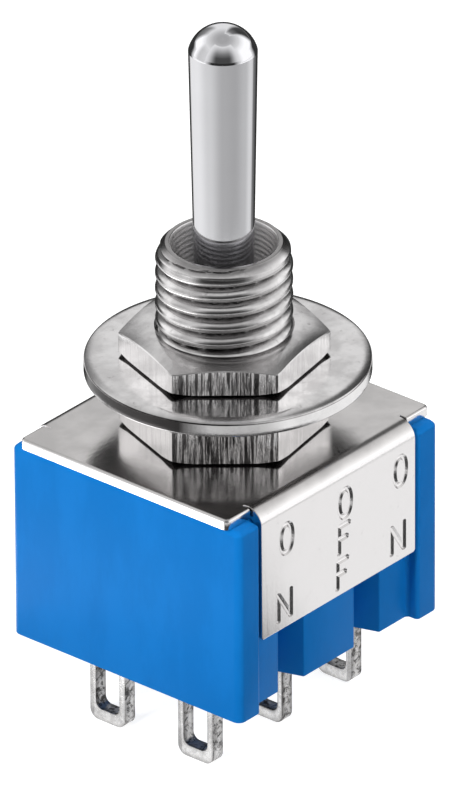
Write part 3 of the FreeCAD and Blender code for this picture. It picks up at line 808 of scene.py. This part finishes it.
FLAP_FACE = 6.42
STROKE = 0.29
GROOVE = [(0.025, 0.025), (-0.080, -0.080), (-0.105, -0.092)]
ROUND_POWER = 0.9
BAR_TIP = 0.8
CUT_STEP = 0.004
LETTER_SHARP = 24.0
SLIVER = 0.0015
LETTER_ZONE_X = 5.0
LETTER_ZONE_Y = 6.3
LETTER_ZONE_Z = (-6.2, -0.9)
LETTER_FACE = 0.6

# Each letter's place on the flap, and its width and height

LETTERS = [
    ("O", -3.51, -2.02, 1.06, 1.66),
    ("N", -3.66, -5.25, 1.12, 1.60),
    ("O", 0.43, -1.95, 1.06, 1.62),
    ("F", 0.36, -3.64, 0.98, 1.60),
    ("F", 0.24, -5.34, 0.98, 1.62),
    ("O", 4.16, -1.96, 1.06, 1.66),
    ("N", 3.99, -5.20, 1.12, 1.60),
]


def squared(value):
    return math.copysign(abs(value) ** ROUND_POWER, value)


def ring_groove(bm, place, width, height):
    steps = 44
    inner = [(-grow, out) for grow, out in reversed(GROOVE)]
    loops = []
    for edge, wall in ((0.0, GROOVE), (-STROKE, inner)):
        for grow, out in wall:
            loop = []
            for step in range(steps):
                turn = 2 * math.pi * step / steps
                x = squared(math.cos(turn)) * (width / 2 + edge + grow)
                z = squared(math.sin(turn)) * (height / 2 + edge + grow)
                loop.append(bm.verts.new(place(x, z, out)))
            loops.append(loop)
    join_rings(bm, loops + loops[:1])


# A straight stroke with rounded ends. Each later stroke of a letter is cut a little deeper and
# wider, so that the floors and walls of two strokes never coincide

def bar_groove(bm, place, start, end, deeper):
    steps = 6
    dx, dz = end[0] - start[0], end[1] - start[1]
    length = math.hypot(dx, dz)
    ux, uz = dx / length, dz / length
    loops = []
    for grow, out in GROOVE:
        half = STROKE / 2 + grow + deeper
        level = out - deeper if out < 0 else out
        loop = []
        for tip, sign in ((start, -1), (end, 1)):
            for step in range(steps + 1):
                angle = math.pi / 2 - math.pi * step / steps
                along = math.cos(angle) * (half - deeper * 4) * BAR_TIP * sign
                across = math.sin(angle) * half * sign
                x = tip[0] + ux * along - uz * across
                z = tip[1] + uz * along + ux * across
                loop.append(bm.verts.new(place(x, z, level)))
        loops.append(loop)
    join_rings(bm, loops)
    close_ends(bm, loops)


def strokes(letter, width, height):
    w, h = width / 2 - STROKE / 2, height / 2 - STROKE / 2
    stem = ((-w, -h), (-w, h))
    if letter == "N":
        slant = ((-w + 0.03, h - 0.06), (w - 0.03, -h + 0.06))
        return [stem, ((w, -h), (w, h)), slant]
    if letter == "F":
        top_arm = ((-w + 0.04, h - 0.01), (w, h))
        low_arm = ((-w + 0.02, 0.05 * h), (w * 0.6, 0.05 * h))
        return [stem, top_arm, low_arm]
    return [None]


def stamp_letters(obj):
    for side in (-1, 1):
        for letter, x, z, width, height in LETTERS:
            def place(dx, dz, out, x=x, z=z):
                return Vector(((x + dx) * -side, side * (FLAP_FACE + out), z + dz + LIFT)) * MM

            for count, stroke in enumerate(strokes(letter, width, height)):
                bm = bmesh.new()
                if stroke:
                    bar_groove(bm, place, *stroke, CUT_STEP * count)
                else:
                    ring_groove(bm, place, width, height)
                carve(obj, bm, LETTER_SHARP)


def drop_slivers(mesh):
    bm = bmesh.new()
    bm.from_mesh(mesh)
    bmesh.ops.remove_doubles(bm, verts=bm.verts, dist=SLIVER * MM)
    bmesh.ops.dissolve_degenerate(bm, edges=bm.edges, dist=SLIVER * MM)
    bm.to_mesh(mesh)
    bm.free()


# The small faces in and round the letters are shaded flat, so that their edges are crisp

def crisp_letters(obj):
    drop_slivers(obj.data)
    soften(obj.data, LETTER_SHARP)
    for face in obj.data.polygons:
        x, y, z = face.center / MM
        on_flap = abs(x) < LETTER_ZONE_X and abs(y) > LETTER_ZONE_Y
        level = LETTER_ZONE_Z[0] < z - LIFT < LETTER_ZONE_Z[1]
        if on_flap and level and face.area < LETTER_FACE * MM ** 2:
            face.use_smooth = False
    smooth = obj.modifiers.new("normals", "WEIGHTED_NORMAL")
    smooth.keep_sharp = True
    bake(obj)


# Housing, frame and lugs

HOUSING_EDGE = 0.07
FRAME_EDGE = 0.05
LUG_EDGE = 0.06


def make_housing(material):
    obj = dressed("housing", "housing_moulded", material, HOUSING_EDGE)


def make_frame(material):
    obj = dressed("frame_bracket", "frame_folded", material, FRAME_EDGE)
    stamp_letters(obj)
    crisp_letters(obj)


def make_lug(place, material):
    obj = dressed("terminal_" + place, "lug_" + place, material, LUG_EDGE)


# Studio: the floor and the world look white, but light the object only a little

FLOOR_RADIUS = 300.0
FLOOR_TONE = 0.42
FLOOR_GLOW = 0.86
WORLD_SEEN = 1.0
WORLD_FILL = 0.16

# Each lamp: azimuth and elevation in degrees, distance and size in metres, and power in watts

LAMP_AIM = Vector((0, 0, 0.018))
LAMPS = {
    "key_left": (-92, 30, 0.40, (0.12, 0.16), 1.46),
    "key_right": (6, 32, 0.40, (0.12, 0.16), 0.68),
    "fill_back": (92, 30, 0.40, (0.16, 0.16), 0.55),
    "top": (150, 68, 0.45, (0.30, 0.30), 0.30),
}


# 1 for rays from the camera and for reflected and refracted ones, else 0

def seen_rays(tree):
    path = tree.nodes.new("ShaderNodeLightPath")
    first = tree.nodes.new("ShaderNodeMath")
    first.operation = "MAXIMUM"
    tree.links.new(path.outputs["Is Camera Ray"], first.inputs[0])
    tree.links.new(path.outputs["Is Glossy Ray"], first.inputs[1])
    every = tree.nodes.new("ShaderNodeMath")
    every.operation = "MAXIMUM"
    tree.links.new(first.outputs[0], every.inputs[0])
    tree.links.new(path.outputs["Is Transmission Ray"], every.inputs[1])
    return every.outputs[0]


def make_world():
    world = bpy.data.worlds.new("studio")
    bpy.context.scene.world = world
    tree, out = empty_tree(world, "ShaderNodeOutputWorld")
    seen = tree.nodes.new("ShaderNodeBackground")
    seen.inputs["Color"].default_value = (1, 1, 1, 1)
    seen.inputs["Strength"].default_value = WORLD_SEEN
    fill = tree.nodes.new("ShaderNodeBackground")
    fill.inputs["Color"].default_value = (1, 1, 1, 1)
    fill.inputs["Strength"].default_value = WORLD_FILL
    mix = tree.nodes.new("ShaderNodeMixShader")
    tree.links.new(seen_rays(tree), mix.inputs[0])
    tree.links.new(fill.outputs[0], mix.inputs[1])
    tree.links.new(seen.outputs[0], mix.inputs[2])
    tree.links.new(mix.outputs[0], out.inputs["Surface"])


def make_floor():
    bm = bmesh.new()
    bmesh.ops.create_circle(bm, cap_ends=True, segments=64, radius=FLOOR_RADIUS * MM)
    floor = place_mesh("floor", bm)
    material = bpy.data.materials.new("pale_floor")
    tree, out = empty_tree(material, "ShaderNodeOutputMaterial")
    diffuse = tree.nodes.new("ShaderNodeBsdfDiffuse")
    diffuse.inputs["Color"].default_value = (FLOOR_TONE, FLOOR_TONE, FLOOR_TONE, 1)
    glow = tree.nodes.new("ShaderNodeEmission")
    lift = tree.nodes.new("ShaderNodeMath")
    lift.operation = "MULTIPLY"
    lift.inputs[1].default_value = FLOOR_GLOW
    tree.links.new(seen_rays(tree), lift.inputs[0])
    tree.links.new(lift.outputs[0], glow.inputs["Strength"])
    add = tree.nodes.new("ShaderNodeAddShader")
    tree.links.new(diffuse.outputs[0], add.inputs[0])
    tree.links.new(glow.outputs[0], add.inputs[1])
    tree.links.new(add.outputs[0], out.inputs["Surface"])
    floor.data.materials.append(material)


# Cards: painted reflections, bent ribbons round the object, glowing or dark, that only its
# reflections show. A card's tones are pairs of azimuth from the camera and brightness. Each row of
# its path is a radius, a height above the floor and, where it isn't 1, the share of the tone that
# shows there, the rest being plain white

CARD_STEP = 3


def blend(pairs, place):
    for (a, low), (b, high) in zip(pairs[:-1], pairs[1:]):
        if a <= place <= b:
            share = (place - a) / (b - a)
            share = share * share * (3 - 2 * share)
            return low + (high - low) * share
    return pairs[0][1] if place < pairs[0][0] else pairs[-1][1]


def card_glow(name):
    material = bpy.data.materials.new(name)
    tree, out = empty_tree(material, "ShaderNodeOutputMaterial")
    glow = tree.nodes.new("ShaderNodeEmission")
    shade = tree.nodes.new("ShaderNodeAttribute")
    shade.attribute_name = "tone"
    tree.links.new(shade.outputs["Color"], glow.inputs["Color"])
    tree.links.new(glow.outputs[0], out.inputs["Surface"])
    return material


def make_card(name, tones, path):
    start, end = tones[0][0], tones[-1][0]
    steps = int((end - start) / CARD_STEP)
    bm = bmesh.new()
    layer = bm.verts.layers.float_color.new("tone")
    rows = []
    for radius, z, *share in path:
        row = []
        for step in range(steps + 1):
            around = start + (end - start) * step / steps
            a = math.radians(CAMERA_AZIMUTH + around)
            vert = bm.verts.new((math.sin(a) * radius * MM, -math.cos(a) * radius * MM, z * MM))
            tone = 1 + (blend(tones, around) - 1) * (share[0] if share else 1)
            vert[layer] = (tone, tone, tone, 1.0)
            row.append(vert)
        rows.append(row)
    for low, high in zip(rows[:-1], rows[1:]):
        for step in range(steps):
            bm.faces.new((low[step], low[step + 1], high[step + 1], high[step]))
    card = place_mesh(name, bm)
    card.visible_camera = False
    card.visible_diffuse = False
    card.visible_shadow = False
    card.visible_transmission = False
    card.data.materials.append(card_glow(name))


def make_cards():
    bat = [
        (-180, 0.03), (-148, 0.03), (-134, 1.05), (-97, 1.10), (-51, 0.86), (0, 0.56), (40, 0.52),
        (80, 0.66), (104, 0.90), (114, 0.85), (124, 0.22), (150, 0.03), (180, 0.03),
    ]
    make_card("card_round_bat", bat, [(40, 0.5), (66, 0.5)])
    low = [
        (-180, 0.02), (-150, 0.03), (-134, 1.0), (-112, 1.0), (-98, 1.3), (-64, 1.3), (-48, 1.0),
        (-24, 0.60), (24, 0.60), (46, 1.0), (134, 1.0), (148, 0.03), (180, 0.02),
    ]
    make_card("card_round_nuts", low, [(29, 0.4), (39.9, 0.4)])
    before = [(-180, 0.03), (-148, 0.03), (-136, 1.0)]
    after = [(-42, 1.0), (-18, 0.05), (60, 0.05), (78, 1.0), (136, 1.0), (148, 0.03), (180, 0.03)]
    make_card("card_round_foot", before + after, [(9, 0.3), (13.9, 0.3)])
    glint = [(-118, 5.0), (-58, 5.0)]
    make_card("card_round_base", before + glint + after, [(14, 0.3), (28.9, 0.3)])
    front = [(-56, 1.0), (-34, 0.15), (32, 0.15), (56, 1.0)]
    make_card("card_front_floor", front, [(66, 0.6), (260, 0.6)])
    dark = [(-62, 1.0), (-34, 0.03), (32, 0.03), (60, 1.0)]
    make_card("card_front_low", dark, [(260, 0.6), (260, 60)])
    grey = [(-60, 1.0), (-22, 0.08), (20, 0.08), (56, 1.0)]
    leaning = [(260, 60), (260, 150), (260, 240, 0.8), (220, 320, 0.4), (170, 370, 0.0)]
    make_card("card_front_high", grey, leaning)
    above = [(340, 330, 0.0), (280, 380, 0.3), (190, 420, 0.75), (100, 440), (4, 440)]
    make_card("card_top", [(-180, 0.50), (180, 0.50)], above)
    sky = [(300, 10), (300, 200), (290, 320, 0.0)]
    left = [(-140, 1.0), (-128, 1.4), (-106, 1.4), (-86, 0.78), (-64, 0.85), (-50, 1.0)]
    make_card("card_left_soft", left, sky)
    make_card("card_right_soft", [(52, 1.0), (72, 1.4), (124, 1.4), (136, 1.0)], sky)
    behind = [(108, 1.0), (126, 0.04), (234, 0.04), (252, 1.0)]
    make_card("card_back_low", behind, [(66.2, 0.6), (260, 0.6), (260, 48), (260, 84, 0.0)])
    right = [(130, 1.0), (141, 0.05), (160, 0.08), (170, 1.0)]
    make_card("card_back_right", right, [(255, 60), (240, 190), (190, 290, 0.8), (130, 350, 0.0)])
    left = [(-170, 1.0), (-160, 0.15), (-143, 0.15), (-132, 1.0)]
    make_card("card_back_left", left, [(255, 60), (240, 150, 0.8), (210, 240, 0.0)])


def make_lamp(name, azimuth, elevation, distance, size, power):
    back = direction(azimuth, elevation)
    data = bpy.data.lights.new(name, "AREA")
    data.shape = "RECTANGLE"
    data.size, data.size_y = size
    data.energy = power
    lamp = bpy.data.objects.new(name, data)
    lamp.location = LAMP_AIM + back * distance
    lamp.rotation_mode = "QUATERNION"
    lamp.rotation_quaternion = back.to_track_quat("Z", "Y")
    lamp.visible_glossy = False
    bpy.context.scene.collection.objects.link(lamp)


# The pieces that stay as they are in the frame

def finish_cad_pieces(pale, silver, steel):
    finishes = {"lock_washer": steel, "lever_pivot_pin": steel, "actuator": pale}
    for pole in POLES:
        finishes["plunger_" + pole] = pale
        finishes["rocker_contact_" + pole] = silver
    for node, material in finishes.items():
        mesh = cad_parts[node].data
        mesh.materials.clear()
        mesh.materials.append(material)


def main():
    bpy.context.scene.view_settings.view_transform = "Standard"
    make_camera()
    make_world()
    make_floor()
    for name, lamp in LAMPS.items():
        make_lamp(name, *lamp)
    make_cards()

    blue = blue_plastic()
    chrome = lever_chrome()
    thread = nickel("nickel_thread", 0.12, 0.24, tone=0.98, grooves=True)
    hexes = nickel("nickel_nut", 0.10, 0.24, tone=0.92, flank_light=0.95, streaks_and_shade=0.92)
    disc = nickel("nickel_washer", 0.10, 0.20, flank_light=0.60, seam=True)
    plate = frame_plate()
    silver = lug_silver()
    pale = pale_plastic()
    steel = wire_steel()

    make_housing(blue)
    make_frame(plate)
    for pole in POLES:
        for place in PLACES:
            make_lug(place + "_" + pole, silver)
    make_bushing(thread)
    make_nut("nut_lower", "lower_hex_nut", 0.0, LOWER_NUT_TOP, hexes)
    make_nut("nut_upper", "upper_hex_nut", WASHER_TOP, UPPER_NUT_TOP, hexes)
    make_washer(disc)
    make_lever(chrome)
    make_stem_end(chrome)
    for pole in POLES:
        make_spring(pole, steel)
    finish_cad_pieces(pale, silver, steel)


main()
